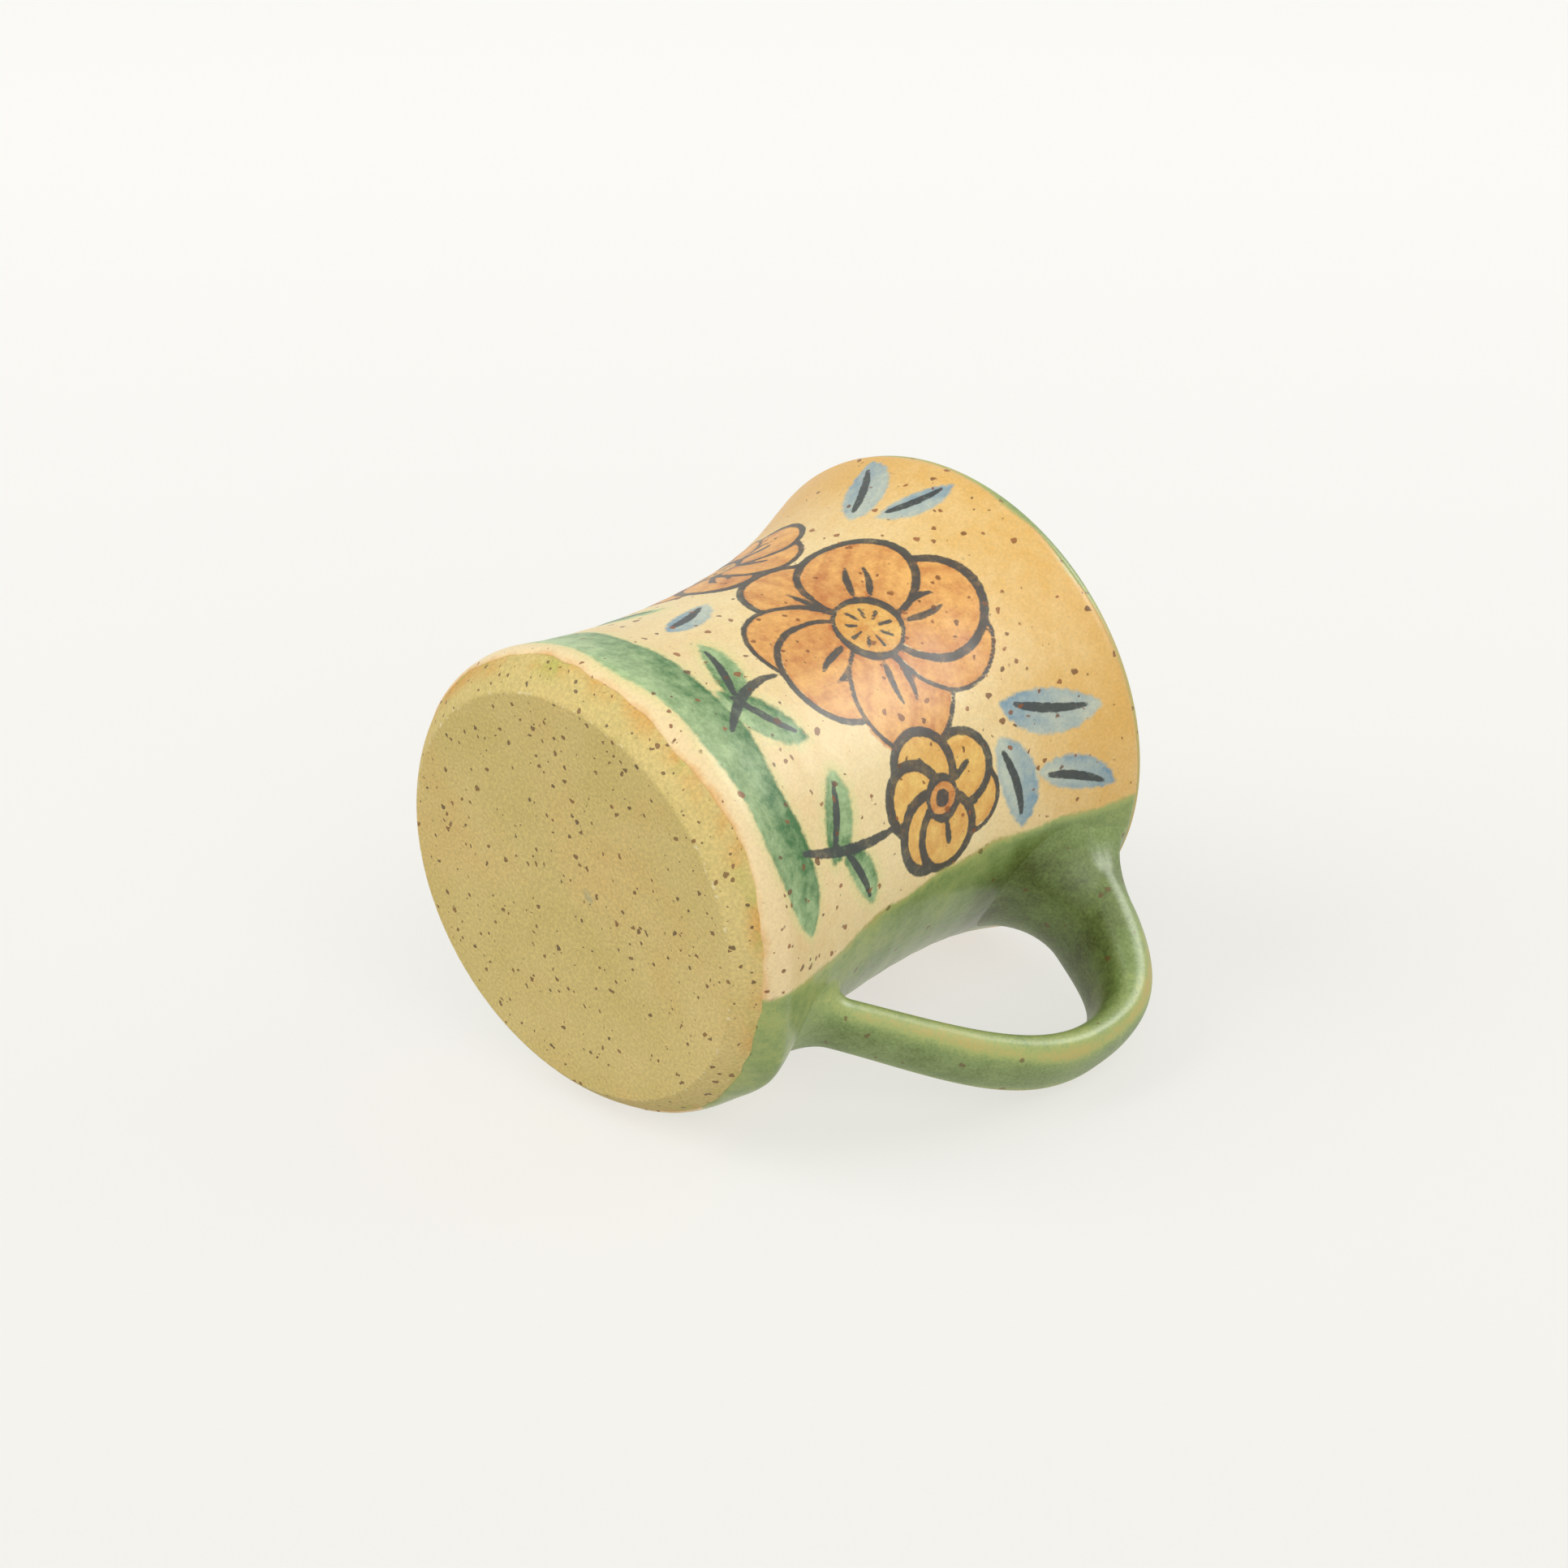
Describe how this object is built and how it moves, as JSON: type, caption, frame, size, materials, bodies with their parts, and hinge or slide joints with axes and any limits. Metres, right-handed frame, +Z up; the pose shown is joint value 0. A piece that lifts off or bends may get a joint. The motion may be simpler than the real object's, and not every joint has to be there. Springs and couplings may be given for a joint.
{
  "type": "stoneware mug",
  "caption": "Thrown stoneware mug with a flat foot, a slim waist, a flared lip and a pulled strap handle, for hot drinks.",
  "frame": {"origin": "centre of the flat foot, on the table", "axes": "+Z up along the cup's axis, +X towards the handle"},
  "size_m": [0.1162, 0.0898, 0.095],
  "materials": {
    "clay": "bare speckled stoneware, matt",
    "painted_wall": "brush painting under clear satin glaze, with iron specks",
    "green_glaze": "green satin glaze that breaks to tan on edges"
  },
  "bodies": {
    "root": {"thrown_body": "clay", "wall_glaze": "painted_wall", "liner_glaze": "green_glaze", "handle": "green_glaze", "upper_joint_coil": "green_glaze", "lower_joint_coil": "green_glaze"}
  },
  "joints": []
}
